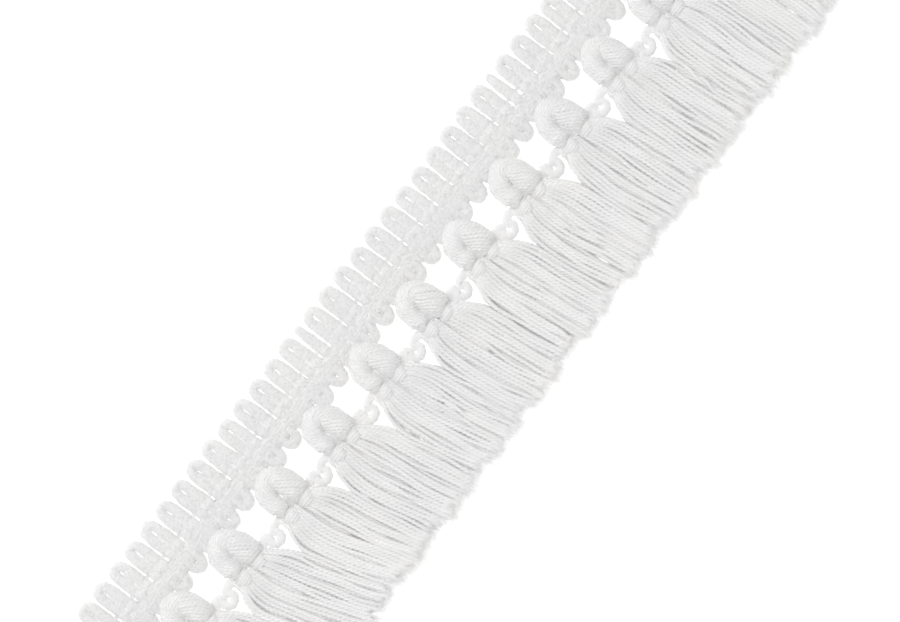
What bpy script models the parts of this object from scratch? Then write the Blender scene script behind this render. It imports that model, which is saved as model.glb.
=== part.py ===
"""Tassel fringe trim: a braided gimp heading, a row of tassels and the cord that ties their necks.

Blender 4.5, +Z up. The trim lies flat on z = 0. Its length runs along X, the heading's outer loops are at +Y
and the cut ends of the tassels at -Y. Sizes are in millimetres and become metres in place().
A distance called `down` is measured from the heading's outer edge towards the cut ends.
"""

import math
import random

import bmesh
import bpy

MM = 0.001

# The whole trim
WIDTH = 50.0
TASSELS = 13
TASSEL_PITCH = 16.2
CLEARANCE = 0.32

# Gimp cord of the heading
GIMP = 2.1
GIMP_LIFT = 0.1
LOOP_ARC_STEPS = 4
LOOP_LEG_END = 7.7
LOOP_CELL = 5.3
NARROW_LOOP_CELL = 3.15
LOOP_SPACE = 0.55
# Loops in order along X: (how many, cell width)
LOOP_RUNS = (
    (16, LOOP_CELL),
    (1, NARROW_LOOP_CELL),
    (12, LOOP_CELL),
    (1, NARROW_LOOP_CELL),
    (11, LOOP_CELL),
)

# Flat band with its two raised binding rows, as a profile: (down, height)
BAND_PROFILE = (
    (6.7, 0.0),
    (6.7, 1.7),
    (7.1, 2.5),
    (8.0, 2.5),
    (8.3, 1.7),
    (8.7, 1.7),
    (9.0, 2.5),
    (9.8, 2.5),
    (10.2, 2.0),
    (12.4, 2.0),
    (12.9, 1.5),
    (12.9, 0.0),
)
BAND_END_INSET = 0.6

# Scalloped inner edge: two scallops show between tassels and one lies under each head
SCALLOP_CORD = 1.8
SCALLOP_TOP = 12.2
SCALLOP_BOTTOM = 15.9
SCALLOP_OFFSET = 2.53
SCALLOP_SHIFT = -1.12
SCALLOP_WIDTH = 4.7
HIDDEN_SCALLOP_WIDTH = 6.2
SCALLOP_TURN = 1.4

# Tassel's body, from the dome that laps the heading to the roots of the strands
# (down, half width, underside, top, depth of the crevice, crevice's place)
HEAD_SECTIONS = (
    (12.7, 1.7, 2.4, 3.3, 0.0, 0.0),
    (13.7, 3.2, 2.4, 4.8, 0.0, 0.0),
    (16.1, 4.5, 2.4, 6.2, 0.0, -0.2),
    (17.1, 4.9, 0.0, 6.5, 0.6, -0.5),
    (18.6, 5.0, 0.0, 6.5, 2.4, -0.4),
    (21.2, 4.7, 0.0, 5.9, 2.2, 0.0),
    (22.1, 3.4, 1.5, 3.8, 0.3, 0.2),
    (24.1, 3.4, 1.5, 3.8, 0.3, 0.3),
    (24.5, 4.6, 0.4, 4.2, 1.0, 0.4),
    (26.2, 6.4, 0.0, 3.5, 0.7, 0.5),
)
# Points round one section: (across, up), as shares of its half width and height
SECTION_POINTS = (
    (-0.6, 0.0),
    (0.6, 0.0),
    (0.97, 0.3),
    (0.9, 0.7),
    (0.42, 1.0),
    (-0.42, 1.0),
    (-0.9, 0.7),
    (-0.97, 0.3),
)
CREVICE_AFTER = 5
# The heads and necks sit a little to one side of their skirts
HEAD_SHIFT = -0.45
# How much one tassel differs from the next
CREVICE_SHIFT = 0.25
FULLNESS = (0.97, 1.01)

# Skirt of separate strands
STRANDS_IN_ROW = 8
ROOT_DOWN = 25.4
SPREAD_DOWN = 29.5
MIDDLE_DOWN = 40.0
ROOT_HALF_WIDTH = 6.1
SHORTEST = 48.6
# Width of a strand as a share of its place, at its root, where it has spread, at its middle and at its end
WIDTH_SHARES = (0.8, 1.0, 1.0, 0.85)
# How far the skirts lean towards +X at their cut ends, at each edge between tassels
EDGE_LEAN = (7.5, 7.0, 6.6, 6.0, 3.3, 3.0, 2.9, 2.3, 2.6, 2.0, 1.4, 1.5, 1.1, 0.9)
LEAN_CURVE = 1.3
# Heights of a three-sided strand: (flat side, ridge) at its root, where it has spread, and at its end
UNDER_STRAND = ((0.3, 1.4), (0.0, 1.2), (0.0, 1.1))
OVER_STRAND = ((1.8, 3.1), (1.45, 2.7), (1.35, 2.3))

# Tie cord
TIE = 1.2
NECK_MIDDLE = 23.1
NECK_HEIGHT = 2.7
WRAP_HALF_WIDTH = 4.25
WRAP_HALF_HEIGHT = 2.15
WRAP_THICKNESS = 1.0
WRAP_BREADTH = 1.6
WRAP_STEPS = 10
WRAP_SIDES = 4
# The cord's wave between two necks: (from the middle between two tassels, down, height)
WAVE = (
    (HEAD_SHIFT + WRAP_HALF_WIDTH - TASSEL_PITCH / 2, NECK_MIDDLE, 2.1),
    (-3.3, 22.1, 1.2),
    (-2.3, 21.8, 0.85),
    (-1.6, 22.6, 0.7),
    (-2.05, 23.7, 0.7),
    (-1.6, 24.9, 0.7),
    (-0.75, 25.3, 0.7),
    (0.1, 24.9, 0.7),
    (0.5, 23.7, 0.7),
    (0.0, 22.6, 0.7),
    (0.9, 21.7, 0.85),
    (1.9, 21.6, 1.0),
    (2.75, 22.2, 1.4),
    (HEAD_SHIFT - WRAP_HALF_WIDTH + TASSEL_PITCH / 2, NECK_MIDDLE, 2.1),
)
# A cut tail at each end of the cord: (beyond the wrap, down, height)
TAIL = (
    (0.0, NECK_MIDDLE, 2.1),
    (1.1, NECK_MIDDLE - 0.4, 1.2),
    (2.2, NECK_MIDDLE + 0.3, 0.75),
)

SEED = 7

# Colour and roughness of each material
FINISHES = {
    "gimp_white": ((0.86, 0.86, 0.87, 1.0), 0.75),
    "tassel_white": ((0.83, 0.83, 0.845, 1.0), 0.6),
    "cord_white": ((0.88, 0.88, 0.89, 1.0), 0.65),
}


def place(across, down, up):
    """A point of the trim in metres."""
    return across * MM, (WIDTH / 2 - down) * MM, up * MM


def clear_scene():
    for old in list(bpy.data.objects):
        bpy.data.objects.remove(old, do_unlink=True)


def new_collection(name, hidden=False):
    made = bpy.data.collections.new(name)
    bpy.context.scene.collection.children.link(made)
    made.hide_render = hidden
    return made


def material(name):
    colour, roughness = FINISHES[name]
    made = bpy.data.materials.new(name)
    made.use_nodes = True
    shader = made.node_tree.nodes["Principled BSDF"]
    shader.inputs["Base Color"].default_value = colour
    shader.inputs["Roughness"].default_value = roughness
    shader.inputs["Metallic"].default_value = 0.0
    made.diffuse_color = colour
    return made


def mesh_object(name, collection, build, finish=None):
    """An object whose mesh is filled by build(bm)."""
    mesh = bpy.data.meshes.new(name)
    bm = bmesh.new()
    build(bm)
    bmesh.ops.recalc_face_normals(bm, faces=bm.faces)
    bm.to_mesh(mesh)
    bm.free()
    made = bpy.data.objects.new(name, mesh)
    collection.objects.link(made)
    if finish:
        mesh.materials.append(finish)
    return made


def as_mesh(curve_object, collection):
    """A curve object turned into a welded mesh object in the same place."""
    bpy.context.view_layer.update()
    graph = bpy.context.evaluated_depsgraph_get()
    mesh = bpy.data.meshes.new_from_object(curve_object.evaluated_get(graph))
    bm = bmesh.new()
    bm.from_mesh(mesh)
    bmesh.ops.remove_doubles(bm, verts=bm.verts, dist=MM / 1000)
    bmesh.ops.recalc_face_normals(bm, faces=bm.faces)
    bm.to_mesh(mesh)
    bm.free()
    made = bpy.data.objects.new(curve_object.name + "_solid", mesh)
    made.matrix_world = curve_object.matrix_world.copy()
    collection.objects.link(made)
    bpy.data.objects.remove(curve_object, do_unlink=True)
    return made


def cords(name, paths, thickness, sides_step, collection):
    """Cords of one thickness along lists of (across, down, up) points, as one mesh object."""
    curve = bpy.data.curves.new(name, "CURVE")
    curve.dimensions = "3D"
    curve.bevel_depth = thickness / 2 * MM
    curve.bevel_resolution = sides_step
    curve.use_fill_caps = True
    for path in paths:
        spline = curve.splines.new("POLY")
        spline.points.add(len(path) - 1)
        for point, (across, down, up) in zip(spline.points, path):
            point.co = (*place(across, down, up), 1.0)
    made = bpy.data.objects.new(name, curve)
    collection.objects.link(made)
    return as_mesh(made, collection)


def join(base, other):
    """A Boolean union of two mesh objects. The second stays as a hidden helper."""
    union = base.modifiers.new("join " + other.name, "BOOLEAN")
    union.operation = "UNION"
    union.solver = "EXACT"
    union.object = other
    other.hide_render = True
    other.display_type = "WIRE"


# Heading


def loop_places():
    """(middle, cell width) of every outer loop."""
    cells = [cell for count, cell in LOOP_RUNS for _ in range(count)]
    edge = -sum(cells) / 2
    found = []
    for cell in cells:
        found.append((edge + cell / 2, cell))
        edge += cell
    return found


def outer_loops():
    """Paths of the gimp cord's loops, each up, over and down again. A narrow one lies closed, as one cord."""
    up = GIMP_LIFT + GIMP / 2
    paths = []
    for middle, cell in loop_places():
        radius = (cell - LOOP_SPACE - GIMP) / 2
        if cell == NARROW_LOOP_CELL:
            paths.append([(middle, LOOP_LEG_END, up), (middle, GIMP / 2, up), (middle, GIMP / 5, up)])
            continue
        turn = GIMP / 2 + radius
        path = [(middle - radius, LOOP_LEG_END, up)]
        for step in range(LOOP_ARC_STEPS + 1):
            angle = math.pi * step / LOOP_ARC_STEPS
            path.append((middle - radius * math.cos(angle), turn - radius * math.sin(angle), up))
        path.append((middle + radius, LOOP_LEG_END, up))
        paths.append(path)
    return paths


def inner_scallops():
    """Paths of the small loops along the inner edge, three to a tassel."""
    up = GIMP_LIFT + SCALLOP_CORD / 2
    paths = []
    for index in range(TASSELS):
        middle = tassel_place(index) + SCALLOP_SHIFT
        places = (
            (middle - TASSEL_PITCH / 2 + SCALLOP_OFFSET, SCALLOP_WIDTH),
            (middle, HIDDEN_SCALLOP_WIDTH),
            (middle + TASSEL_PITCH / 2 - SCALLOP_OFFSET, SCALLOP_WIDTH),
        )
        for centre, width in places:
            radius = (width - SCALLOP_CORD) / 2
            bottom = SCALLOP_BOTTOM - SCALLOP_CORD / 2
            turn = bottom - min(radius, SCALLOP_TURN)
            paths.append([
                (centre - radius, SCALLOP_TOP, up),
                (centre - radius, turn, up),
                (centre - radius / 2, bottom, up),
                (centre + radius / 2, bottom, up),
                (centre + radius, turn, up),
                (centre + radius, SCALLOP_TOP, up),
            ])
    return paths


def band(collection):
    """The flat band, as its profile drawn in 2D and extruded along the trim."""
    curve = bpy.data.curves.new("band", "CURVE")
    curve.dimensions = "2D"
    curve.fill_mode = "BOTH"
    length = sum(count * cell for count, cell in LOOP_RUNS)
    curve.extrude = (length / 2 - BAND_END_INSET) * MM
    spline = curve.splines.new("POLY")
    spline.points.add(len(BAND_PROFILE) - 1)
    for point, (down, up) in zip(spline.points, BAND_PROFILE):
        _, along_y, height = place(0.0, down, up)
        point.co = (along_y, height, 0.0, 1.0)
    spline.use_cyclic_u = True
    made = bpy.data.objects.new("band", curve)
    # Turns the drawing's X to +Y and its Y to +Z, so that its depth lies along X.
    made.rotation_euler = (math.pi / 2, 0.0, math.pi / 2)
    collection.objects.link(made)
    return as_mesh(made, collection)


def build_heading(parts, helpers):
    base = band(helpers)
    loops = cords("outer_loops", outer_loops(), GIMP, 1, helpers)
    scallops = cords("inner_scallops", inner_scallops(), SCALLOP_CORD, 0, helpers)
    heading = bpy.data.objects.new("heading", base.data)
    heading.matrix_world = base.matrix_world.copy()
    bpy.data.objects.remove(base, do_unlink=True)
    parts.objects.link(heading)
    heading.data.materials.append(material("gimp_white"))
    join(heading, loops)
    join(heading, scallops)


# Tassels


def tassel_place(index):
    return (index - (TASSELS - 1) / 2) * TASSEL_PITCH


def head_ring(bm, centre, section):
    """One section of a tassel's body, as vertices."""
    down, half_width, low, high, depth, crevice = section
    points = [(centre + half_width * across, low + (high - low) * up) for across, up in SECTION_POINTS]
    points.insert(CREVICE_AFTER, (centre + crevice, high - depth))
    return [bm.verts.new(place(across, down, up)) for across, up in points]


def bridge(bm, rings):
    """A closed skin over rings with the same number of points."""
    for first, second in zip(rings, rings[1:]):
        count = len(first)
        for i in range(count):
            j = (i + 1) % count
            bm.faces.new((first[i], first[j], second[j], second[i]))
    bm.faces.new(rings[0])
    bm.faces.new(list(reversed(rings[-1])))


def head(bm, centre, chance):
    """The folded skein: a dome, two lobes with a crevice between them, a neck and the skirt's root."""
    shift = chance.uniform(-CREVICE_SHIFT, CREVICE_SHIFT)
    fullness = chance.uniform(*FULLNESS)
    rings = []
    for down, half_width, low, high, depth, crevice in HEAD_SECTIONS:
        section = (down, half_width * fullness, low, high, depth, crevice + shift)
        rings.append(head_ring(bm, centre, section))
    bridge(bm, rings)


def edge_line(edge, down, side):
    """Where the skirt's edge lies at a distance down, for the cell edge of this number."""
    across = (edge - TASSELS / 2) * TASSEL_PITCH
    reach = (down - SPREAD_DOWN) / (WIDTH - SPREAD_DOWN)
    lean = EDGE_LEAN[edge] * max(reach, 0.0) ** LEAN_CURVE
    return across + lean + side * CLEARANCE / 2


def strand_lines(index, slots, down):
    """Left edges and widths of `slots` strands side by side at a distance down."""
    if down <= ROOT_DOWN:
        left = tassel_place(index) + HEAD_SHIFT - ROOT_HALF_WIDTH
        right = tassel_place(index) + HEAD_SHIFT + ROOT_HALF_WIDTH
    else:
        left = edge_line(index, down, 1)
        right = edge_line(index + 1, down, -1)
    return left, (right - left) / slots


def strand(bm, index, slot, heights, end):
    """One three-sided strand, its flat side down."""
    at_root, at_spread, at_end = heights
    rows = (at_root, at_spread, at_spread, at_end)
    rings = []
    for down, share, (low, high) in zip((ROOT_DOWN, SPREAD_DOWN, MIDDLE_DOWN, end), WIDTH_SHARES, rows):
        left, pitch = strand_lines(index, STRANDS_IN_ROW, down)
        middle = left + pitch * slot
        half = (pitch - CLEARANCE) / 2 * share
        corners = ((middle - half, low), (middle + half, low), (middle, high))
        rings.append([bm.verts.new(place(across, down, up)) for across, up in corners])
    bridge(bm, rings)


def skirt(bm, index, chance):
    """Two rows of strands that stand apart: one on the ground and one in the furrows between them."""
    longest = STRANDS_IN_ROW // 2
    for k in range(STRANDS_IN_ROW):
        end = WIDTH if k == longest else chance.uniform(SHORTEST, WIDTH)
        strand(bm, index, k + 0.5, UNDER_STRAND, end)
    for k in range(1, STRANDS_IN_ROW):
        strand(bm, index, float(k), OVER_STRAND, chance.uniform(SHORTEST, WIDTH))


def build_tassels(parts, helpers):
    finish = material("tassel_white")
    for index in range(TASSELS):
        chance = random.Random(SEED + index)
        centre = tassel_place(index) + HEAD_SHIFT
        name = f"tassel_{index + 1:02d}"
        body = mesh_object(name, parts, lambda bm: head(bm, centre, chance), finish)
        strands = mesh_object(name + "_strands", helpers, lambda bm: skirt(bm, index, chance))
        join(body, strands)


# Tie cord


def wrap(bm, centre):
    """The ring of cord round one neck."""
    rings = []
    for step in range(WRAP_STEPS):
        angle = 2 * math.pi * (step + 0.5) / WRAP_STEPS
        ring = []
        for corner in range(WRAP_SIDES):
            turn = 2 * math.pi * corner / WRAP_SIDES
            out = WRAP_THICKNESS / 2 * math.cos(turn)
            across = centre + (WRAP_HALF_WIDTH + out) * math.cos(angle)
            up = NECK_HEIGHT + (WRAP_HALF_HEIGHT + out) * math.sin(angle)
            down = NECK_MIDDLE + WRAP_BREADTH / 2 * math.sin(turn)
            ring.append(bm.verts.new(place(across, down, up)))
        rings.append(ring)
    for step in range(WRAP_STEPS):
        first, second = rings[step], rings[(step + 1) % WRAP_STEPS]
        for corner in range(WRAP_SIDES):
            after = (corner + 1) % WRAP_SIDES
            bm.faces.new((first[corner], first[after], second[after], second[corner]))


def waves():
    """Paths of the cord between necks, and the two short cut tails."""
    paths = []
    for index in range(TASSELS - 1):
        middle = tassel_place(index) + TASSEL_PITCH / 2
        paths.append([(middle + across, down, up) for across, down, up in WAVE])
    for side, index in ((-1, 0), (1, TASSELS - 1)):
        start = tassel_place(index) + HEAD_SHIFT + side * WRAP_HALF_WIDTH
        paths.append([(start + side * beyond, down, up) for beyond, down, up in TAIL])
    return paths


def build_tie_cord(parts, helpers):
    def all_wraps(bm):
        for index in range(TASSELS):
            wrap(bm, tassel_place(index) + HEAD_SHIFT)

    cord = mesh_object("tie_cord", parts, all_wraps, material("cord_white"))
    join(cord, cords("waves", waves(), TIE, 0, helpers))


def main():
    clear_scene()
    parts = new_collection("tassel fringe trim")
    helpers = new_collection("helpers", hidden=True)
    build_heading(parts, helpers)
    build_tassels(parts, helpers)
    build_tie_cord(parts, helpers)


main()
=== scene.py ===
"""Looks of the tassel fringe trim: every yarn, cord and braid thread as a mesh of its own shape.

Sizes are in millimetres until a mesh is made. `down` is the distance from the heading's outer edge towards
the tassels' cut ends, as in the solids. `share` runs from 0 at a skirt's left edge to 1 at its right one.
"""

import math

import bpy
import numpy as np
from mathutils import Matrix, Vector


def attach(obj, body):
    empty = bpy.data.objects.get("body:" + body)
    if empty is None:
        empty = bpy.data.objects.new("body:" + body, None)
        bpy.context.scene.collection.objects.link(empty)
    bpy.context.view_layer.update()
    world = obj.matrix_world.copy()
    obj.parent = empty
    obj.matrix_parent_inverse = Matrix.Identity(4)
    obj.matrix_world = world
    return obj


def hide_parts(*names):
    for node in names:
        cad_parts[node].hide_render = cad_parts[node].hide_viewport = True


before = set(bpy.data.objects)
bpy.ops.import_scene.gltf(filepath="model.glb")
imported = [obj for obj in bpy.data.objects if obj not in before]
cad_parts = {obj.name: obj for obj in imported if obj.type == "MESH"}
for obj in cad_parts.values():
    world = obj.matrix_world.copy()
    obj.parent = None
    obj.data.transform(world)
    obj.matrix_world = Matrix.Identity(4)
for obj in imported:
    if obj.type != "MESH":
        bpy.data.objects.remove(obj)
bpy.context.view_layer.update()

MM = 0.001
SEED = 11

# The trim, as in the solids
WIDTH = 50.0
TASSELS = 13
PITCH = 16.2
HEAD_SHIFT = -0.45

# Plied yarn of the tassels
YARN = 0.86
PLIES = 2
PLY_PITCH = -2.1
PLY_DEPTH = 0.25
# Soft gimp cord of the loops and scallops
GIMP_PLIES = 3
GIMP_PITCH = 2.6
GIMP_DEPTH = 0.035
# How white a thread is picked to be, as painted shade and painted light: a low range paints shade on threads
# that lie in the shade of others, a high range paints light on threads that stand out
PAINTED_SHADE_TONES = (0, 0.2)
PAINTED_LIGHT_TONES = (0.7, 1)

# Skirt: half width of a skirt and the middle's sideways shift, at distances down
SKIRT_SHAPE = (
    (23.0, 4.3, -0.45),
    (24.2, 4.85, -0.42),
    (25.0, 5.5, -0.36),
    (26.0, 6.35, -0.3),
    (27.0, 7.0, -0.26),
    (28.0, 7.5, -0.1),
    (29.0, 7.9, 0.0),
    (30.0, 8.1, 0.0),
    (53.0, 8.1, 0.0),
)
# How far the skirts lean towards +X at their cut ends, at each edge between tassels
EDGE_LEAN = (7.5, 7.0, 6.6, 6.0, 3.3, 3.0, 2.9, 2.3, 2.6, 2.0, 1.4, 1.5, 1.1, 0.9)
LEAN_START = 29.5
LEAN_CURVE = 1.3
# Strands of a skirt, from the lowest layer up: how many, the height that they rest at, how unevenly they are
# laid, how far their roots rise or sink in the neck, their thickness in yarns, and how much of a parting they
# take, where None stands for the parting's own number
LAYERS = (
    (18, 0.65, 0.1, -1.4, 1.12, 0.0),
    (18, 1.3, 0.2, 0.8, 1.02, None),
    (16, 1.8, 0.4, 1.6, 1.05, 1.0),
)
# Slow waves in a strand: (length, size)
WANDER = ((23.0, 0.3), (11.0, 0.16), (6.0, 0.05))
# The necks' two lobes at the strands' roots: the lobes' place and half width, from the neck's middle
ROOT_HALF = 4.0
ROOT_LOBE = (2.05, 2.15)
ROOT_HEIGHT = 2.4
CROWN = 0.22
FIRST_LEVEL = 23.0
LEVEL_STEP = 0.9
LEVELS = 33
SHORTEST = 48.7
LONGEST = 50.6
# Strands push each other apart: rounds, neighbours on each side, how close they lie, and how fast they part.
# Then each is drawn back to where it would lie, across and up: by how much, and how much more at its root.
ROUNDS = 90
NEIGHBOURS = 7
CLOSE = 0.98
PUSH = 0.3
SMOOTHING = 0.3
HOLD_ACROSS = (0.05, 0.3)
HOLD_UP = (0.06, 0.24)
# A strand is built finely where more than this share of it shows: (points, sides)
SHOWN = 0.22
FINE_STRAND = (92, 6)
HIDDEN_STRAND = (32, 4)
END_FIBRES = 15
LONGEST_FIBRE = 2.0


# Threads as meshes


def place(points):
    """Points (across, down, up) as (x, y, z), both in millimetres."""
    across, down, up = np.moveaxis(np.asarray(points, float), -1, 0)
    return np.stack((across, WIDTH / 2 - down, up), axis=-1)


def through(points, count):
    """A smooth curve of `count` points through each row of points, shape (rows, points, values)."""
    points = np.asarray(points, float)
    last = points.shape[-2] - 1
    where = np.linspace(0.0, last, count)
    return sample(points, np.broadcast_to(where, points.shape[:-2] + (count,)))


def sample(points, where):
    """Catmull-Rom values of rows of points at the given places along them."""
    last = points.shape[-2] - 1
    base = np.clip(np.floor(where).astype(int), 0, last - 1)
    t = (where - base)[..., None]

    def pick(shift):
        index = np.clip(base + shift, 0, last)[..., None]
        index = np.broadcast_to(index, index.shape[:-1] + points.shape[-1:])
        return np.take_along_axis(points, index, axis=-2)

    a, b, c, d = pick(-1), pick(0), pick(1), pick(2)
    return 0.5 * (2 * b + (c - a) * t + (2 * a - 5 * b + 4 * c - d) * t**2 + (3 * b - 3 * c + d - a) * t**3)


def evenly(points, spacing):
    """One curve through (across, down, up) and other values, with points `spacing` apart."""
    fine = through(np.asarray(points, float)[None], len(points) * 24)[0]
    run = np.concatenate(([0.0], np.cumsum(np.linalg.norm(np.diff(fine[:, :3], axis=0), axis=1))))
    steps = np.linspace(0.0, run[-1], max(int(run[-1] / spacing), 3))
    return np.stack([np.interp(steps, run, fine[:, k]) for k in range(fine.shape[1])], axis=1)


def unit(vectors):
    return vectors / np.maximum(np.linalg.norm(vectors, axis=-1, keepdims=True), 1e-9)


def carried(paths, start):
    """Two directions square to each path, carried along it without a twist."""
    along = unit(np.gradient(paths, axis=1))
    sides = np.empty_like(paths)
    side = np.broadcast_to(np.asarray(start, float), paths[:, 0].shape)
    for k in range(paths.shape[1]):
        side = unit(side - np.sum(side * along[:, k], axis=1, keepdims=True) * along[:, k])
        sides[:, k] = side
    return sides, np.cross(along, sides)


class Threads:
    """Closed tubes along paths, gathered into one mesh.

    The UV map holds the way round the thread, from 0 to 1, and the distance along it in millimetres. The
    attribute "tone" is a number from 0 to 1 for each thread.
    """

    def __init__(self, seed):
        self.chance = np.random.default_rng(seed)
        self.points = []
        self.quads = []
        self.caps = []
        self.maps = []
        self.tones = []
        self.total = 0

    def add(
        self,
        paths,
        half,
        sides,
        flat=1.0,
        lobes=0,
        depth=0.0,
        pitch=1.0,
        start=(0.0, 0.0, 1.0),
        relief=None,
        tone=(0.3, 1),
    ):
        """Tubes along `paths`, of shape (threads, points, 3), with `half` as their radius.

        `flat` is their height as a share of their width. `lobes` plies wind round with the given pitch and
        depth. `relief` gives more shape from the angle and the distance along. `tone` is the range that each
        thread's whiteness is picked from: random tone, with painted shade where the range is low and painted
        light where it is high.
        """
        threads, count, _ = paths.shape
        first, second = carried(paths, start)
        steps = np.linalg.norm(np.diff(paths, axis=1), axis=2)
        run = np.concatenate((np.zeros((threads, 1)), np.cumsum(steps, axis=1)), axis=1)
        run = run + self.chance.uniform(0.0, 40.0, (threads, 1))
        angle = 2 * math.pi * np.arange(sides) / sides
        radius = np.broadcast_to(np.asarray(half, float), (threads, count))[..., None] * np.ones(sides)
        if lobes:
            wound = np.broadcast_to(np.asarray(depth, float), (threads, count))[..., None]
            radius = radius * (1 + wound * np.cos(lobes * (angle - 2 * math.pi / pitch * run[..., None])))
        if relief:
            radius = radius * (1 + relief(angle, run[..., None]))
        squash = np.broadcast_to(np.asarray(flat, float), (threads, count))[..., None]
        ring = paths[:, :, None] + (radius * np.cos(angle))[..., None] * second[:, :, None]
        ring = ring - (radius * squash * np.sin(angle))[..., None] * first[:, :, None]
        index = self.total + np.arange(threads * count * sides).reshape(threads, count, sides)
        after = np.roll(index, -1, axis=2)
        quads = np.stack((index[:, :-1], after[:, :-1], after[:, 1:], index[:, 1:]), axis=-1)
        self.quads.append(quads.reshape(-1, 4))
        self.caps.append(np.concatenate((index[:, 0, ::-1], index[:, -1])))
        around = np.broadcast_to(np.arange(sides) / sides, (threads, count - 1, sides))
        low = np.broadcast_to(run[:, :-1, None], around.shape)
        high = np.broadcast_to(run[:, 1:, None], around.shape)
        corners = ((around, low), (around + 1 / sides, low), (around + 1 / sides, high), (around, high))
        self.maps.append(np.stack([np.stack(pair, -1) for pair in corners], axis=-2).reshape(-1, 2))
        self.points.append(ring.reshape(-1, 3))
        self.tones.append(np.repeat(self.chance.uniform(*tone, threads), count * sides))
        self.total += threads * count * sides

    def made(self, name, finish):
        """The mesh object, in metres."""
        quads = np.concatenate(self.quads)
        caps = [row for block in self.caps for row in block]
        loops = np.concatenate([quads.reshape(-1)] + caps)
        sizes = np.concatenate((np.full(len(quads), 4), [len(row) for row in caps]))
        starts = np.concatenate(([0], np.cumsum(sizes)[:-1]))
        mesh = bpy.data.meshes.new(name)
        mesh.vertices.add(self.total)
        points = np.concatenate(self.points)
        points[:, 2] = np.maximum(points[:, 2], 0.0)
        mesh.vertices.foreach_set("co", (points * MM).astype(np.float32).reshape(-1))
        mesh.loops.add(len(loops))
        mesh.loops.foreach_set("vertex_index", loops.astype(np.int32))
        mesh.polygons.add(len(sizes))
        mesh.polygons.foreach_set("loop_start", starts.astype(np.int32))
        mesh.update(calc_edges=True)
        spread = np.zeros((len(loops), 2))
        around = np.concatenate(self.maps)
        spread[:len(around)] = around
        layer = mesh.uv_layers.new(name="thread")
        layer.uv.foreach_set("vector", spread.astype(np.float32).reshape(-1))
        tone = mesh.attributes.new("tone", "FLOAT", "POINT")
        tone.data.foreach_set("value", np.concatenate(self.tones).astype(np.float32))
        mesh.shade_smooth()
        mesh.materials.append(finish)
        made = bpy.data.objects.new(name, mesh)
        bpy.context.scene.collection.objects.link(made)
        return made


# Materials

COOL_TINT = (0.987, 0.972, 0.983)
WARM_TINT = (1.0, 0.995, 0.976)
# Noise scales, in waves for each metre: slow patches of tint, and the fuzz's fine mottling
PATCHES = 90.0
MOTTLE = 1600.0


class Nodes:
    """A material's node tree, with short ways to add to it."""

    def __init__(self, name):
        self.material = bpy.data.materials.new(name)
        self.material.use_nodes = True
        self.tree = self.material.node_tree
        self.shader = self.tree.nodes["Principled BSDF"]

    def add(self, kind, **settings):
        node = self.tree.nodes.new("ShaderNode" + kind)
        for key, value in settings.items():
            setattr(node, key, value)
        return node

    def feed(self, socket, value):
        if isinstance(value, bpy.types.NodeSocket):
            self.tree.links.new(value, socket)
        else:
            socket.default_value = value

    def math(self, operation, *values):
        node = self.add("Math", operation=operation)
        for socket, value in zip(node.inputs, values):
            self.feed(socket, value)
        return node.outputs[0]

    def vector(self, x, y, z):
        node = self.add("CombineXYZ")
        for socket, value in zip(node.inputs, (x, y, z)):
            self.feed(socket, value)
        return node.outputs[0]

    def noise(self, where, scale, detail=2.0):
        node = self.add("TexNoise")
        self.feed(node.inputs["Vector"], where)
        node.inputs["Scale"].default_value = scale
        node.inputs["Detail"].default_value = detail
        return node.outputs["Fac"]

    def ramp(self, value, stops):
        node = self.add("ValToRGB")
        self.feed(node.inputs[0], value)
        ramp = node.color_ramp
        while len(ramp.elements) < len(stops):
            ramp.elements.new(0.5)
        for element, (position, colour) in zip(ramp.elements, stops):
            element.position = position
            element.color = (*colour, 1.0)
        return node.outputs[0]

    def mix(self, share, first, second, blend="MIX"):
        node = self.add("Mix", data_type="RGBA", blend_type=blend)
        self.feed(node.inputs[0], share)
        self.feed(node.inputs[6], first)
        self.feed(node.inputs[7], second)
        return node.outputs[2]


def grey(value):
    return (value, value, value)


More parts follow.
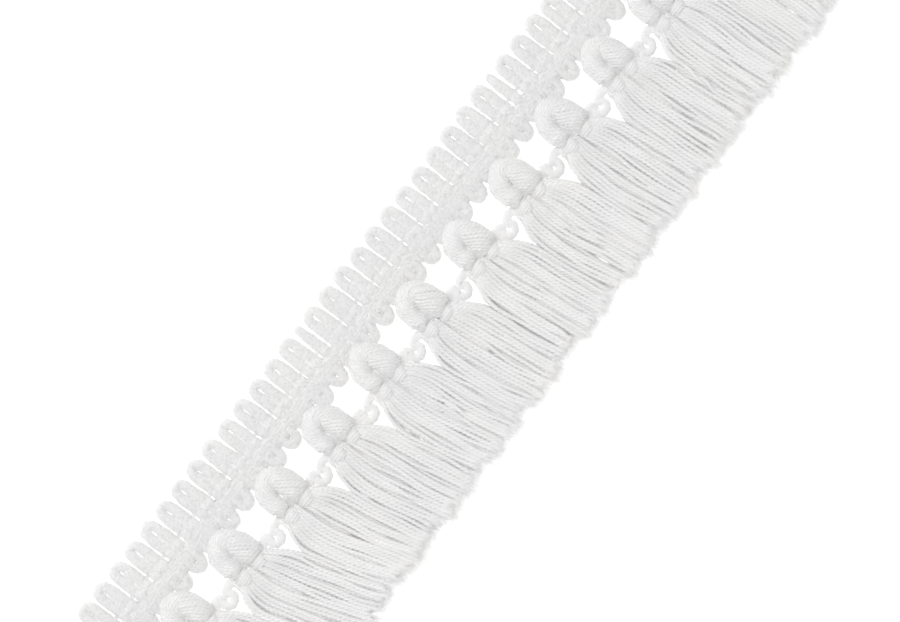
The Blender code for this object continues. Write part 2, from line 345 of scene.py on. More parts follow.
def thread_material(
    name,
    light,
    dark_fibres_and_furrow_shade,
    roughness,
    sheen,
    plies,
    pitch,
    fibres,
    slope,
    relief,
    furrows,
    grain,
    gloss,
    depth,
):
    """Fibres wound along a thread, with painted shade darkening the furrows between its plies, and uneven
    whiteness that is partly random tone and partly painted shade or light.

    `fibres` is how many fibre bundles lie round the thread, and `slope` how fast they wind, in turns a mm.
    `relief` is the bump's strength, `furrows` the plies' share of it and `grain` the fuzz's. `gloss` is the
    specular level, and `depth` how far light goes into the thread.
    """
    nodes = Nodes(name)
    place_on = nodes.add("UVMap", uv_map="thread").outputs[0]
    split = nodes.add("SeparateXYZ")
    nodes.feed(split.inputs[0], place_on)
    around, along = split.outputs[0], split.outputs[1]
    tone = nodes.add("Attribute", attribute_name="tone").outputs["Fac"]
    where = nodes.add("TexCoord").outputs["Object"]

    wound = nodes.math("SUBTRACT", around, nodes.math("MULTIPLY", along, slope))
    turn = nodes.math("MULTIPLY", wound, 2 * math.pi)
    fine = nodes.noise(
        nodes.vector(
            nodes.math("MULTIPLY", nodes.math("COSINE", turn), fibres),
            nodes.math("MULTIPLY", nodes.math("SINE", turn), fibres),
            nodes.math("ADD", nodes.math("MULTIPLY", along, 0.5), nodes.math("MULTIPLY", tone, 50.0)),
        ),
        1.0,
        3.0,
    )
    ply = nodes.math("SUBTRACT", around, nodes.math("DIVIDE", along, pitch))
    furrow = nodes.math("COSINE", nodes.math("MULTIPLY", ply, 2 * math.pi * plies))
    furrow = nodes.math("MULTIPLY_ADD", furrow, 0.5, 0.5)
    # Painted shade: the colour is darkened in the furrows between the plies, besides the bump there. The
    # fibre noise adds the thread's own unevenness.
    furrow_shade_and_fibres = nodes.math("ADD", nodes.math("MULTIPLY", furrow, 0.5), nodes.math("MULTIPLY", fine, 0.5))
    colour = nodes.ramp(furrow_shade_and_fibres, ((0.2, grey(dark_fibres_and_furrow_shade)), (0.6, grey(light))))
    patch = nodes.noise(where, PATCHES)
    tint = nodes.ramp(patch, ((0.35, COOL_TINT), (0.65, WARM_TINT)))
    colour = nodes.mix(1.0, colour, tint, "MULTIPLY")
    # Painted shade and painted light: a thread's tone darkens it a little. Threads given a low range are
    # painted shaded, those given a high range painted lit, and the rest vary at random.
    shade = nodes.ramp(tone, ((0.0, grey(0.9)), (1.0, grey(1.0))))
    colour = nodes.mix(1.0, colour, shade, "MULTIPLY")
    mottle = nodes.noise(where, MOTTLE)
    spots = nodes.ramp(mottle, ((0.35, grey(1 - 0.1 * grain)), (0.52, grey(1.0))))
    colour = nodes.mix(1.0, colour, spots, "MULTIPLY")
    nodes.feed(nodes.shader.inputs["Base Color"], colour)

    height = nodes.math("ADD", fine, nodes.math("MULTIPLY", furrow, furrows))
    height = nodes.math("ADD", height, nodes.math("MULTIPLY", mottle, 2.5 * grain))
    bump = nodes.add("Bump")
    bump.inputs["Strength"].default_value = relief
    bump.inputs["Distance"].default_value = 0.1 * MM
    nodes.feed(bump.inputs["Height"], height)
    nodes.feed(nodes.shader.inputs["Normal"], bump.outputs[0])
    rough = nodes.math("MULTIPLY_ADD", fine, 0.2, roughness - 0.1)
    nodes.feed(nodes.shader.inputs["Roughness"], rough)
    nodes.shader.inputs["Specular IOR Level"].default_value = gloss
    nodes.shader.subsurface_method = "BURLEY"
    nodes.shader.inputs["Subsurface Weight"].default_value = 0.7
    nodes.shader.inputs["Subsurface Radius"].default_value = (1.0, 1.0, 1.0)
    nodes.shader.inputs["Subsurface Scale"].default_value = depth * MM
    nodes.shader.inputs["Sheen Weight"].default_value = sheen
    nodes.shader.inputs["Sheen Roughness"].default_value = 0.5
    nodes.shader.inputs["Sheen Tint"].default_value = (1.0, 1.0, 1.0, 1.0)
    return nodes.material


# Skirts


def middle_of_tassel(index):
    return (index - (TASSELS - 1) / 2) * PITCH


def shape_at(down, column):
    table = np.array(SKIRT_SHAPE)
    return np.interp(down, table[:, 0], table[:, column])


def skirt_side(index, down, side):
    """Across position of a skirt's left (0) or right (1) edge."""
    middle = middle_of_tassel(index) + shape_at(down, 2)
    reach = np.clip((down - LEAN_START) / (WIDTH - LEAN_START), 0.0, None)
    return middle + (2 * side - 1) * shape_at(down, 1) + EDGE_LEAN[index + side] * reach**LEAN_CURVE


def swell(value):
    """A smooth rise from 0 to 1."""
    value = np.clip(value, 0.0, 1.0)
    return value * value * (3 - 2 * value)


def partings(chance):
    """Furrows where a skirt's strands part: (share, first down, last down, width, middle layer's part)."""
    found = [
        (0.5, 18.0, chance.uniform(38, 43), chance.uniform(1.0, 1.3), 0.25),
        (0.045, 28.0, chance.uniform(40, 44), chance.uniform(0.7, 1.0), 0.1),
    ]
    for share in (0.2, 0.36, 0.66, 0.8, 0.93):
        start = chance.uniform(26, 37)
        share += chance.uniform(-0.06, 0.06)
        found.append((share, start, start + chance.uniform(9, 18), chance.uniform(0.3, 0.9), 0.05))
    return found


def wished(levels, chance):
    """Where each strand of all skirts would lie if none was in the way: across, up and half thickness."""
    across, up, half = [], [], []
    for index in range(TASSELS):
        furrows = partings(chance)
        left = skirt_side(index, levels, 0)
        right = skirt_side(index, levels, 1)
        for layer, (count, rest, uneven, root_rise, yarns, parting) in enumerate(LAYERS):
            for k in range(count):
                share = (k + uneven * chance.uniform(-1, 1)) / (count - 1)
                share = min(max(share, 0.0), 1.0)
                drift = chance.normal(0.0, 0.012) * swell((levels - 28) / 20)
                wander = np.zeros_like(levels)
                for wave_length, size in WANDER:
                    phase = chance.uniform(0, 2 * math.pi)
                    wander += size * np.sin(2 * math.pi * levels / wave_length + phase)
                wander *= swell((levels - 26) / 8)
                line = left + YARN / 2 + (share + drift) * (right - left - YARN) + wander
                for where, first, last, width, lower in furrows:
                    gap = share - where
                    grown = np.sin(math.pi * np.clip((levels - first) / (last - first), 0, 1)) ** 0.7
                    strength = (lower if parting is None else parting) * width / 2
                    line += np.sign(gap) * strength * grown * math.exp(-abs(gap) / 0.08)
                across.append(line)
                lobe = 1 - ((abs(2 * share - 1) * ROOT_HALF - ROOT_LOBE[0]) / ROOT_LOBE[1]) ** 2
                lobe = max(lobe, 0.02) ** 0.7
                root = ROOT_HEIGHT + root_rise * lobe
                crown = CROWN * layer * (1 - (2 * share - 1) ** 2)
                fall = swell((levels - 24.0) / 6.0)
                up.append(root + (rest + crown - root) * fall)
                thick = YARN * yarns * chance.uniform(0.93, 1.05)
                half.append(thick / 2 * (0.72 + 0.28 * swell((levels - 23.5) / 3.0)))
    return np.array(across).T, np.array(up).T, np.array(half).T


def settled(levels, chance):
    """Strands that push each other apart, keep near their layer and stay smooth, each at every level."""
    wish, height, half = wished(levels, chance)
    across, up = wish.copy(), height.copy()
    hold = (1 - swell((levels - 24.5) / 4.0))[:, None]
    for _ in range(ROUNDS):
        order = np.argsort(across, axis=1)
        x = np.take_along_axis(across, order, 1)
        z = np.take_along_axis(up, order, 1)
        r = np.take_along_axis(half, order, 1)
        push_x, push_z = np.zeros_like(x), np.zeros_like(z)
        for shift in range(1, NEIGHBOURS + 1):
            dx = x[:, shift:] - x[:, :-shift]
            dz = z[:, shift:] - z[:, :-shift]
            gap = np.sqrt(dx * dx + dz * dz) + 1e-6
            over = np.clip((r[:, shift:] + r[:, :-shift]) * CLOSE - gap, 0, None) * PUSH
            push_x[:, shift:] += over * dx / gap
            push_x[:, :-shift] -= over * dx / gap
            push_z[:, shift:] += over * dz / gap
            push_z[:, :-shift] -= over * dz / gap
        moved_x, moved_z = np.empty_like(x), np.empty_like(z)
        np.put_along_axis(moved_x, order, x + push_x, 1)
        np.put_along_axis(moved_z, order, z + push_z, 1)
        across = moved_x + (HOLD_ACROSS[0] + HOLD_ACROSS[1] * hold) * (wish - moved_x)
        up = moved_z + (HOLD_UP[0] + HOLD_UP[1] * hold) * (height - moved_z)
        for values in (across, up):
            inner = values[1:-1]
            inner += SMOOTHING * (0.5 * (values[:-2] + values[2:]) - inner)
        up = np.maximum(up, half + 0.02)
    return across, up, half


def seen_share(across, up):
    """How much of each strand shows from above."""
    order = np.argsort(across, axis=1)
    x = np.take_along_axis(across, order, 1)
    z = np.take_along_axis(up, order, 1)
    cover = np.zeros_like(x)
    for shift in range(1, 6):
        near = np.clip(1 - np.abs(x[:, shift:] - x[:, :-shift]) / YARN, 0, 1)
        above = z[:, shift:] - z[:, :-shift]
        cover[:, :-shift] += near * (above > 0.25)
        cover[:, shift:] += near * (above < -0.25)
    shown = np.empty_like(cover)
    np.put_along_axis(shown, order, np.clip(1 - cover, 0, 1), 1)
    return shown[6:].mean(axis=0)


def skirts(finish_threads, chance):
    """Strands of all the skirts and the loose fibres at their ends."""
    levels = FIRST_LEVEL + LEVEL_STEP * np.arange(LEVELS)
    across, up, half = settled(levels, chance)
    shown = seen_share(across, up)
    each = sum(layer[0] for layer in LAYERS)
    down = np.broadcast_to(levels[:, None], across.shape)
    values = np.stack((across, down, up, half), -1).transpose(1, 0, 2)
    for index in range(TASSELS):
        threads = finish_threads[index]
        own = values[index * each:(index + 1) * each]
        share = (own[:, -1, 0] - own[:, -1, 0].min()) / np.ptp(own[:, -1, 0])
        ends = SHORTEST + (LONGEST - SHORTEST) * (1 - (2 * share - 1) ** 2) * 0.6
        tuft = 0.35 * np.sin(share * 14.0 + chance.uniform(0, 6))
        tuft = tuft + 0.25 * np.sin(share * 31.0 + chance.uniform(0, 6))
        ends = ends + tuft + chance.normal(0.15, 0.4, each)
        reach = (np.clip(ends, 47.5, 51.0) - levels[0]) / LEVEL_STEP
        own_shown = shown[index * each:(index + 1) * each]
        fine = own_shown > SHOWN
        for chosen, (count, sides) in ((fine, FINE_STRAND), (~fine, HIDDEN_STRAND)):
            length = np.linspace(0, 1, count)
            line = sample(own[chosen], length[None] * reach[chosen][:, None])
            paths = place(line[..., :3])
            # The plies come undone near the cut end, which is a little fuller and then thins out into fibres.
            tip = 1 + 0.12 * swell((length - 0.9) / 0.05) - 0.6 * swell((length - 0.955) / 0.045)
            wound = PLY_DEPTH * (1 - swell((length - 0.92) / 0.05))
            threads.add(paths, line[..., 3] * tip, sides, lobes=PLIES, depth=wound, pitch=PLY_PITCH)
            frays(threads, paths, chance)


def frays(threads, paths, chance):
    """Loose fibres that spread from each strand's cut end."""
    tip = np.repeat(paths[:, -1], END_FIBRES, axis=0)
    ahead = np.repeat(unit(paths[:, -1] - paths[:, -4]), END_FIBRES, axis=0)
    count = len(tip)
    none = np.zeros(count)
    spread = np.stack((chance.normal(0, 0.6, count), none, chance.normal(0.05, 0.3, count)), -1)
    curl = np.stack((chance.normal(0, 0.5, count), none, chance.normal(-0.1, 0.2, count)), -1)
    length = np.minimum(chance.gamma(2.5, 0.4, count), LONGEST_FIBRE)[:, None]
    lines = []
    for step in (-1.2, 0.4, 1.0):
        way = max(step, 0) * length
        root = tip + spread * 0.5 + ahead * min(step, 0)
        lines.append(root + way * unit(ahead + spread) + way * way * curl * 0.35)
    lines = np.stack(lines, axis=1)
    lines[..., 2] = np.maximum(lines[..., 2], 0.08)
    half = chance.uniform(0.04, 0.09, (count, 1)) * np.array([1.0, 0.8, 0.35])
    threads.add(lines, half, 3)


# Heads and necks: a skein folded over into two lobes

# One leg of the fold, from the neck to the top: (across, down, height, radius across, radius up)
LEG = (
    (2.1, 24.2, 2.4, 1.75, 1.4),
    (2.15, 22.9, 2.5, 1.8, 1.6),
    (2.35, 22.0, 2.9, 2.05, 2.35),
    (2.42, 20.8, 3.15, 2.62, 2.9),
    (2.38, 19.1, 3.2, 2.7, 3.0),
    (2.15, 17.4, 3.4, 2.65, 2.85),
    (1.35, 15.95, 3.7, 2.4, 2.45),
)
FOLD_TOP = (0.0, 15.25, 3.85, 2.4, 2.25)
# Yarn that fills the crevice between the two legs: (across, down, height, radius)
WEB = (
    (-0.7, 17.2, 3.2, 0.9),
    (-0.8, 18.8, 3.2, 0.9),
    (-0.8, 20.3, 3.7, 0.85),
    (-1.1, 21.7, 2.5, 1.5),
    (-1.0, 22.8, 2.0, 1.3),
    (-0.5, 24.0, 1.3, 0.9),
    (0.0, 25.5, 1.6, 0.6),
)
# The web goes on below the neck, down the skirt's middle: at these distances down, at this height and radius
WEB_TAIL = (28, 32, 36)
WEB_TAIL_HEIGHT = 1.6
WEB_TAIL_HALF = 0.43
SKEIN_YARNS = 17
SKEIN_POINTS = 64
# How far the core that fills a skein lies under its surface
CORE_INSET = 0.6


def fold_line(chance):
    """The folded skein's middle line with its radii, left neck to right neck."""
    left = np.array(LEG) * (-1, 1, 1, 1, 1)
    right = np.array(LEG)[::-1].copy()
    left_drop, right_drop = chance.uniform(-0.3, 0.0), chance.uniform(0.2, 0.6)
    belly = slice(2, 6)
    left[belly] += (-0.12, 0, 0, 0.08, 0)
    left[1] += (-0.5, 0, 0, -0.35, 0)
    left[2] += (-0.35, 0, 0, -0.35, -0.1)
    aside = chance.uniform(0.15, 0.42)
    left[belly, 0] -= aside
    left[belly, 3] -= aside
    left[belly, 1] += left_drop
    left[4] += (-0.15, 0, 0, -0.25, -0.1)
    right[1:5, 0] -= aside
    right[1:5, 3] += aside
    right[1:5, 1] += right_drop
    top = np.array([FOLD_TOP]) - (aside / 2, 0, 0, 0, 0)
    return np.concatenate((left, top, right))


def heads(finish_threads, chance):
    for index in range(TASSELS):
        middle = middle_of_tassel(index) + HEAD_SHIFT
        line = through(fold_line(chance)[None], SKEIN_POINTS)[0]
        centre = place(line[:, :3] + (middle, 0, 0))
        along = unit(np.gradient(centre, axis=0))
        outward = unit(np.stack((-along[:, 1], along[:, 0], np.zeros(len(along))), -1))
        run = np.concatenate(([0.0], np.cumsum(np.linalg.norm(np.diff(centre, axis=0), axis=1))))
        twist = math.tan(math.radians(chance.uniform(33, 43))) / 2.5
        paths = []
        for k in range(SKEIN_YARNS):
            angle = 2 * math.pi * (k + chance.uniform(-0.08, 0.08)) / SKEIN_YARNS - twist * run
            inset = YARN / 2 + chance.uniform(-0.06, 0.1)
            sideways = ((line[:, 3] - inset) * np.cos(angle))[:, None] * outward
            upward = ((line[:, 4] - inset) * np.sin(angle))[:, None] * np.array((0, 0, 1))
            paths.append(centre + sideways + upward)
        threads = finish_threads[index]
        paths = np.array(paths)
        paths[..., 2] = np.maximum(paths[..., 2], YARN / 2 + 0.02)
        # The head's yarns are picked darker than the skirts': painted shade on the folded skein.
        threads.add(
            paths,
            YARN / 2,
            6,
            lobes=PLIES,
            depth=PLY_DEPTH,
            pitch=PLY_PITCH,
            start=(0.3, 0.2, 1.0),
            tone=(0, 0.15),
        )
        wide, high = line[::3, 3] - CORE_INSET, line[::3, 4] - CORE_INSET
        threads.add(centre[None, ::3], wide[None], 10, flat=high / wide)
        tail = []
        for down in WEB_TAIL:
            across = sum(skirt_side(index, down, side) for side in (0, 1)) / 2
            tail.append((across, down, WEB_TAIL_HEIGHT, WEB_TAIL_HALF))
        web = through(np.concatenate((np.array(WEB) + (middle, 0, 0, 0), tail))[None], 24)[0]
        # The web's yarn is picked dull: painted shade in the crevice between the lobes.
        threads.add(place(web[None, :, :3]), web[:, 3], 8, tone=PAINTED_SHADE_TONES)


# Tie cord

TIE = 2.2
WRAP_TURNS = 5
WRAP_FIRST = 22.45
WRAP_PITCH = 0.57
WRAP_THREAD = 0.84
# Wrap's half width, its height at the sides, and how far it rises over the neck and sinks under it
WRAP_SHAPE = (4.35, 2.0, 2.3, 1.4)
# The neck's two lobes: their distance from the crevice, and their half width
WRAP_LOBES = (2.35, 2.05)
# The cord's wave between two necks: (from the middle between two tassels, down, height)
WAVE = (
    (-4.9, 23.4, 1.6),
    (-4.3, 23.2, 1.3),
    (-3.6, 22.8, 1.15),
    (-2.75, 22.1, 1.15),
    (-1.6, 22.4, 1.15),
    (-1.86, 23.1, 1.07),
    (-2.13, 23.9, 1.07),
    (-1.6, 24.8, 1.07),
    (-0.8, 25.1, 1.07),
    (0.05, 24.8, 1.07),
    (0.54, 23.95, 1.07),
    (0.3, 23.15, 1.07),
    (0.1, 22.6, 1.1),
    (1.05, 22.15, 1.15),
    (2.0, 22.0, 1.25),
    (3.0, 22.6, 1.45),
    (3.25, 23.4, 1.65),
    (3.1, 24.1, 1.65),
    (3.3, 24.7, 1.9),
    (3.9, 24.9, 2.3),
)
TAIL = (
    (0.0, 23.1, 2.1),
    (0.8, 22.5, 1.5),
    (1.5, 22.7, 1.0),
    (1.9, 23.5, 0.9),
)


def stitches(angle, run):
    """Relief of a fine knitted cord: slanting stitches in two columns."""
    slant = np.abs(np.mod(angle / math.pi, 2.0) - 1.0)
    return 0.07 * np.cos(2 * math.pi * (run / 0.95 + slant * 1.1)) - 0.06 * np.cos(angle * 4)


def tie_cord(finish, chance):
    threads = Threads(SEED + 50)
    for edge in range(TASSELS + 1):
        middle = (edge - TASSELS / 2) * PITCH
        if 0 < edge < TASSELS:
            jitter = chance.normal(0, 0.04, (len(WAVE), 3)) * (1, 1, 0)
            line = np.array(WAVE) + jitter + (middle, 0, 0)
        else:
            side = -1 if edge == 0 else 1
            start = middle - side * PITCH / 2 + HEAD_SHIFT + side * WRAP_SHAPE[0]
            line = np.array(TAIL) * (side, 1, 1) + (start, 0, 0)
        path = place(evenly(line, 0.2))
        threads.add(path[None], TIE / 2, 10, relief=stitches)
    wide, height, rise, sink = WRAP_SHAPE
    for index in range(TASSELS):
        middle = middle_of_tassel(index) + HEAD_SHIFT
        turn = np.linspace(-0.6 * math.pi, 2 * math.pi * WRAP_TURNS - 0.4 * math.pi, 48 * WRAP_TURNS)
        across = wide * (1 + 0.03 * turn / math.pi) * np.sign(np.cos(turn)) * np.abs(np.cos(turn)) ** 0.8
        lobe = 1 - ((np.abs(across + 0.3) - WRAP_LOBES[0]) / WRAP_LOBES[1]) ** 2
        lobe = np.clip(lobe, 0, 1) ** 0.75
        up = np.where(np.sin(turn) > 0, height + rise * lobe, height - sink * np.abs(np.sin(turn)) ** 0.6)
        shake = 0.04 * np.sin(turn * 0.7 + chance.uniform(0, 6)) + 0.12 * (across / wide) ** 2
        down = WRAP_FIRST + WRAP_PITCH * turn / (2 * math.pi) + shake
        up = up - 0.4 * swell((down - 24.0) / 1.2) - 0.9 * np.exp(-((across + 0.3) / 0.4) ** 2)
        path = place(np.stack((middle + across, down, np.maximum(up, WRAP_THREAD / 2)), -1))
        # The wraps are picked darker than the cord's wave: painted shade.
        threads.add(path[None], WRAP_THREAD / 2, 7, relief=stitches, start=(0, 1, 0), tone=(0, 0.1))
    return threads.made("tie_cord_yarn", finish)


# Heading

GIMP = 2.12
LOOP_CELL = 5.3
NARROW_LOOP_CELL = 3.15
# Loops in order along X: (how many, cell width)
LOOP_RUNS = ((16, LOOP_CELL), (1, NARROW_LOOP_CELL), (12, LOOP_CELL), (1, NARROW_LOOP_CELL), (11, LOOP_CELL))
# Half of a loop, from its foot to its top: (from its middle, down, height, half width, half height)
LOOP = (
    (1.22, 10.1, 0.9, 1.36, 0.8),
    (1.22, 9.3, 0.95, 1.33, 0.88),
    (1.22, 8.4, 1.05, 1.34, 1.0),
    (1.22, 7.55, 0.95, 1.37, 0.85),
    (1.22, 6.6, 1.05, 1.35, 1.02),
    (1.23, 5.5, 1.1, 1.34, 1.07),
    (1.25, 4.6, 1.15, 1.31, 1.1),
    (1.27, 3.7, 1.18, 1.25, 1.1),
    (1.26, 2.7, 1.2, 1.19, 1.1),
    (0.96, 1.5, 1.2, 1.14, 1.1),
    (0.0, 1.12, 1.2, 1.12, 1.1),
)
SCALLOP_SHIFT = -1.12
# Scallops of a tassel's cell: (middle, width)
SCALLOPS = ((-5.57, 4.8), (0.0, 6.1), (5.57, 4.8))
# Half of a scallop: (share of its half width, down, height)
SCALLOP = (
    (1.0, 11.9, 1.05),
    (1.0, 13.0, 1.1),
    (0.88, 14.2, 1.1),
    (0.5, 15.05, 1.1),
    (0.0, 15.22, 1.1),
)
SCALLOP_CORD = 2.3
# A cord under the middle scallop, which closes the gap there: (across, down, height), and its radius
FILLER = (
    (-1.2, 12.6, 0.95),
    (0, 12.75, 1.0),
    (1.2, 12.6, 0.95),
)
FILLER_HALF = 1.0
# Binding thread, and its two rows: (down, how far the thread arches between its dives)
BINDING = 0.52
DIVES_AT_MIDDLES = (7.45, 0.25)
DIVES_AT_GAPS = (9.15, 0.2)
# The heading's threads end this far inside the loops' outer edges
HEADING_INSET = 0.6
# Fine threads woven along the flat band: (first down, last down, how many, thread)
WEAVE = (9.9, 13.1, 7, 1.2)
WEAVE_CELL = 0.8


def fuzz(threads, paths, half, each, chance):
    """Short loose fibres that stand out from cords, `each` of them on every point of the paths."""
    root = np.repeat(paths.reshape(-1, 3), each, axis=0)
    along = np.repeat(unit(np.gradient(paths, axis=1)).reshape(-1, 3), each, axis=0)
    out = chance.normal(0, 1, root.shape) * (1, 1, 0.6)
    out = unit(out - np.sum(out * along, axis=1, keepdims=True) * along)
    lean = unit(out + along * chance.normal(0, 0.9, (len(root), 1)))
    start = root + out * half * 0.85
    bend = chance.normal(0, 0.25, root.shape)
    length = np.minimum(chance.gamma(3.0, 0.1, (len(root), 1)), 0.6)
    elbow = start + lean * length + bend * length
    end = start + lean * length * 1.6 + bend * length * 3
    lines = np.stack((start, elbow, end), 1)
    lines[..., 2] = np.maximum(lines[..., 2], 0.05)
    threads.add(lines, np.array([[0.035, 0.03, 0.015]]), 3)


def loop_places():
    """(middle, cell width) of every outer loop."""
    cells = [cell for count, cell in LOOP_RUNS for _ in range(count)]
    edge = -sum(cells) / 2
    found = []
    for cell in cells:
        found.append((edge + cell / 2, cell))
        edge += cell
    return found


def gimp_loops(threads, chance):
    for middle, cell in loop_places():
        if cell == NARROW_LOOP_CELL:
            half = np.array(LOOP)[:8] * (0, 1, 1, 1, 1)
            line = np.concatenate((half, [(0.0, 1.3, 1.17, 0.95, 1.0), (0.0, 0.6, 1.1, 0.6, 0.6)]))
        else:
            half = np.array(LOOP)
            line = np.concatenate((half * (-1, 1, 1, 1, 1), half[::-1][1:]))
        wobble = chance.normal(0, 0.04, (len(line), 5)) * (1, 1, 0.3, 0.5, 0.3)
        line = line + wobble + (middle, 0, 0, 0, 0)
        line[:, 1] += chance.normal(0, 0.08)
        line = evenly(line, 0.32)
        flat = line[:, 4] / line[:, 3]
        path = place(line[:, :3])
        # The loops are picked bright: painted light, which makes them lighter than the scallops of the same
        # cord.
        threads.add(
            path[None],
            line[None, :, 3],
            10,
            flat=flat[None],
            lobes=GIMP_PLIES,
            depth=GIMP_DEPTH,
            pitch=GIMP_PITCH,
            tone=PAINTED_LIGHT_TONES,
        )
        upper = path[None, line[:, 1] < 6.0]
        fuzz(threads, upper, GIMP / 2, 2, chance)


def scallops(threads, chance):
    for index in range(TASSELS):
        for offset, width in SCALLOPS:
            middle = middle_of_tassel(index) + SCALLOP_SHIFT + offset
            spread = (width - SCALLOP_CORD) / 2
            half = np.array(SCALLOP) * (spread, 1, 1)
            line = np.concatenate((half * (-1, 1, 1), half[::-1][1:]))
            line = line + chance.normal(0, 0.04, line.shape) * (1, 1, 0.3) + (middle, 0, 0)
            path = place(evenly(line, 0.32))
            # The scallops are picked dull: painted shade, darker than the loops of the same cord.
            threads.add(
                path[None],
                SCALLOP_CORD / 2,
                9,
                flat=0.95,
                lobes=GIMP_PLIES,
                depth=GIMP_DEPTH,
                pitch=GIMP_PITCH,
                tone=PAINTED_SHADE_TONES,
            )
            fuzz(threads, path[None, 3:-3], SCALLOP_CORD / 2, 1, chance)
        # The filler is picked dull too: painted shade in the gap under the middle scallop.
        filler = through(np.array(FILLER)[None], 7) + (middle_of_tassel(index) + SCALLOP_SHIFT, 0, 0)
        threads.add(place(filler), FILLER_HALF, 8, tone=PAINTED_SHADE_TONES)


def binding(threads, chance):
    """Two rows of thick thread: one dives at the loops' middles, the other between the loops."""
    places = loop_places()
    first_edge = places[0][0] - places[0][1] / 2 + HEADING_INSET
    last_edge = places[-1][0] + places[-1][1] / 2 - HEADING_INSET
    middles = [middle for middle, _ in places]
    gaps = [middle - cell / 2 for middle, cell in places[1:]]
    for dives, (base, arch) in ((middles, DIVES_AT_MIDDLES), (gaps, DIVES_AT_GAPS)):
        dives = np.array([first_edge - 2.0] + list(dives) + [last_edge + 2.0])
        across = np.arange(first_edge, last_edge, 0.28)
        cell = np.clip(np.searchsorted(dives, across) - 1, 0, len(dives) - 2)
        share = (across - dives[cell]) / (dives[cell + 1] - dives[cell])
        hump = np.sin(math.pi * np.clip(share, 0, 1)) ** 0.55
        for strand in range(2):
            shake = 0.07 * np.sin(across * 1.9 + strand * 2 + chance.uniform(0, 6))
            down = base + 0.42 * strand - arch * hump + shake
            up = 0.6 + 0.8 * hump - 0.03 * strand
            path = place(np.stack((across, down, up), -1))
            # Picked dull: painted shade on the binding thread.
            threads.add(path[None], BINDING / 2, 5, tone=PAINTED_SHADE_TONES)


def weave(threads, chance):
    """The flat band's fine threads, over and under in turn, and the ground under them."""
    first, last, count, thick = WEAVE
    edge = sum(n * cell for n, cell in LOOP_RUNS) / 2 - HEADING_INSET
    across = np.arange(-edge, edge, WEAVE_CELL / 3)
    for k, down in enumerate(np.linspace(first, last, count)):
        phase = math.pi * k + 0.3 * np.sin(across / 9.0)
        up = 1.6 + 0.02 * np.cos(math.pi * across / WEAVE_CELL + phase) - 0.16 * abs(k / 3 - 1) ** 4
        sway = 0.05 * np.sin(across / 3.1 + k) + 0.12 * np.sin(across * 1.7 + 2.1 * k)
        path = place(np.stack((across, down + sway, up), -1))
        # Picked dull: painted shade on the band's threads.
        threads.add(path[None], thick / 2, 5, flat=0.48, tone=PAINTED_SHADE_TONES)
    points = 60
    middle = np.full(points, (first + last) / 2)
    ground = np.stack((np.linspace(-edge, edge, points), middle, np.full(points, 0.95)), -1)
    threads.add(place(ground)[None], (last - first) / 2 + 0.35, 14, flat=0.4)


def heading(finish, chance):
    loops = Threads(SEED + 60)
    gimp_loops(loops, chance)
    scallops(loops, chance)
    cords = loops.made("heading_cords", finish)
    bound = Threads(SEED + 61)
    binding(bound, chance)
    weave(bound, chance)
    return cords, bound.made("heading_binding", finish)


# Surroundings

# Where the photograph's middle lies on the trim, the width that it shows, and which way its right side points
VIEW_MIDDLE = (2.3, 0.6)
VIEW_WIDTH = 189.0
VIEW_TURN = math.radians(-53.0)
VIEW_DISTANCE = 600.0
VIEW_TILT = math.radians(3.5)
SENSOR = 36.0


def camera():
    data = bpy.data.cameras.new("camera")
    data.sensor_width = SENSOR
    data.lens = SENSOR * VIEW_DISTANCE / VIEW_WIDTH
    data.clip_start = 0.01
    made = bpy.data.objects.new("camera", data)
    right = Vector((math.cos(VIEW_TURN), math.sin(VIEW_TURN), 0.0))
    upper = Vector((-math.sin(VIEW_TURN), math.cos(VIEW_TURN), 0.0))
    # The far end of the trim, at the picture's upper right, is a little further from the camera.
    lean_to = (-(right + upper)).normalized()
    back = (Vector((0, 0, 1)) * math.cos(VIEW_TILT) + lean_to * math.sin(VIEW_TILT)).normalized()
    side = upper.cross(back).normalized()
    turned = Matrix((side, back.cross(side), back)).transposed().to_4x4()
    target = Vector((VIEW_MIDDLE[0], VIEW_MIDDLE[1], 1.5)) * MM
    made.matrix_world = Matrix.Translation(target + back * VIEW_DISTANCE * MM) @ turned
    bpy.context.scene.collection.objects.link(made)
    bpy.context.scene.camera = made


def area_light(name, place_at, size, watts):
    data = bpy.data.lights.new(name, "AREA")
    data.shape = "DISK"
    data.size = size
    data.energy = watts
    made = bpy.data.objects.new(name, data)
    made.location = place_at
    made.rotation_euler = (-Vector(place_at)).to_track_quat("-Z", "Y").to_euler()
    bpy.context.scene.collection.objects.link(made)


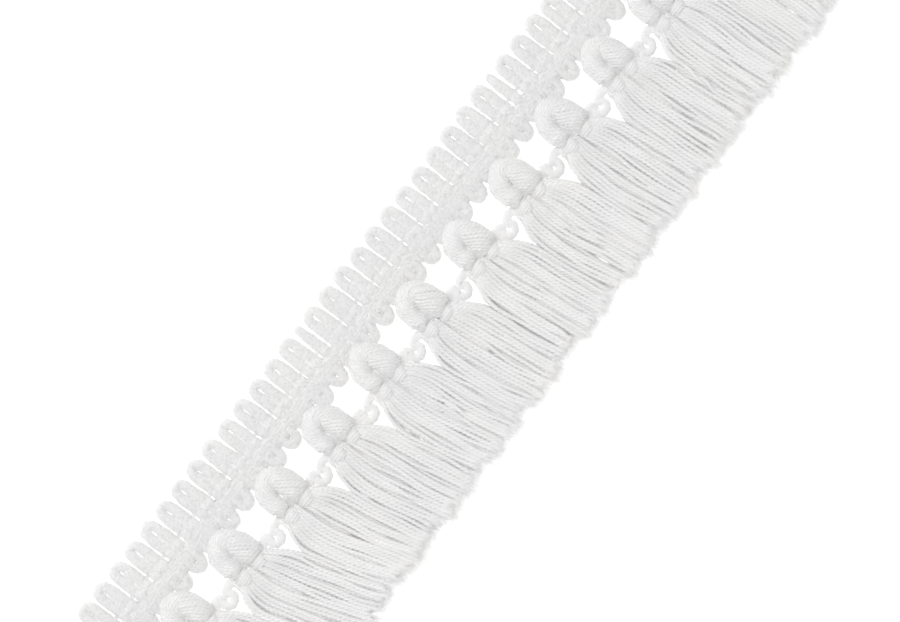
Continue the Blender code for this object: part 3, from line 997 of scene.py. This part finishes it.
def surroundings():
    scene = bpy.context.scene
    scene.view_settings.view_transform = "Standard"
    scene.view_settings.look = "None"
    scene.view_settings.gamma = 1.7
    scene.view_settings.exposure = -0.31
    scene.cycles.diffuse_bounces = 12
    scene.cycles.max_bounces = 16
    world = bpy.data.worlds.new("studio")
    scene.world = world
    world.use_nodes = True
    sky = world.node_tree.nodes["Background"]
    sky.inputs["Color"].default_value = (1.0, 1.0, 1.0, 1.0)
    # The paper curves up behind the trim: what the camera sees there is as white as the paper.
    seen = world.node_tree.nodes.new("ShaderNodeLightPath").outputs["Is Camera Ray"]
    strength = world.node_tree.nodes.new("ShaderNodeMath")
    strength.operation = "MULTIPLY_ADD"
    strength.inputs[1].default_value = 1.0
    strength.inputs[2].default_value = 0.62
    world.node_tree.links.new(seen, strength.inputs[0])
    world.node_tree.links.new(strength.outputs[0], sky.inputs["Strength"])
    area_light("key", (-0.1, 0.5, 0.75), 0.3, 4.0)
    mesh = bpy.data.meshes.new("floor")
    mesh.from_pydata([(-2, -2, 0), (2, -2, 0), (2, 2, 0), (-2, 2, 0)], [], [(0, 1, 2, 3)])
    floor = bpy.data.objects.new("floor", mesh)
    scene.collection.objects.link(floor)
    nodes = Nodes("paper")
    grain = nodes.noise(nodes.add("TexCoord").outputs["Object"], 60.0)
    colour = nodes.ramp(grain, ((0.3, grey(0.93)), (0.7, grey(0.95))))
    nodes.feed(nodes.shader.inputs["Base Color"], colour)
    nodes.shader.inputs["Roughness"].default_value = 0.9
    nodes.shader.inputs["Emission Color"].default_value = (1.0, 1.0, 1.0, 1.0)
    nodes.shader.inputs["Emission Strength"].default_value = 0.9
    mesh.materials.append(nodes.material)


def main():
    camera()
    surroundings()
    tassel_finish = thread_material(
        "tassel_yarn",
        light=0.97,
        dark_fibres_and_furrow_shade=0.87,
        roughness=0.2,
        sheen=0.1,
        plies=PLIES,
        pitch=PLY_PITCH,
        fibres=5.0,
        slope=1 / PLY_PITCH,
        relief=0.5,
        furrows=1.8,
        grain=0.2,
        gloss=1.3,
        depth=0.7,
    )
    gimp_finish = thread_material(
        "gimp_thread",
        light=1.0,
        dark_fibres_and_furrow_shade=0.97,
        roughness=0.6,
        sheen=0.15,
        plies=GIMP_PLIES,
        pitch=GIMP_PITCH,
        fibres=3.0,
        slope=1.6,
        relief=0.7,
        furrows=0.2,
        grain=1.6,
        gloss=0.5,
        depth=0.6,
    )
    cord_finish = thread_material(
        "tie_thread",
        light=0.96,
        dark_fibres_and_furrow_shade=0.9,
        roughness=0.6,
        sheen=0.15,
        plies=2,
        pitch=1.3,
        fibres=3.0,
        slope=0.6,
        relief=0.4,
        furrows=0.3,
        grain=0.6,
        gloss=0.4,
        depth=0.8,
    )
    chance = np.random.default_rng(SEED)
    tassels = [Threads(SEED + index) for index in range(TASSELS)]
    heads(tassels, chance)
    skirts(tassels, chance)
    for index, threads in enumerate(tassels):
        node = f"tassel_{index + 1:02d}"
        piece = threads.made(node + "_yarn", tassel_finish)
        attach(piece, "root")
        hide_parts(node)
    for piece in heading(gimp_finish, chance):
        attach(piece, "root")
        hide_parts("heading")
    cord = tie_cord(cord_finish, chance)
    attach(cord, "root")
    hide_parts("tie_cord")


main()
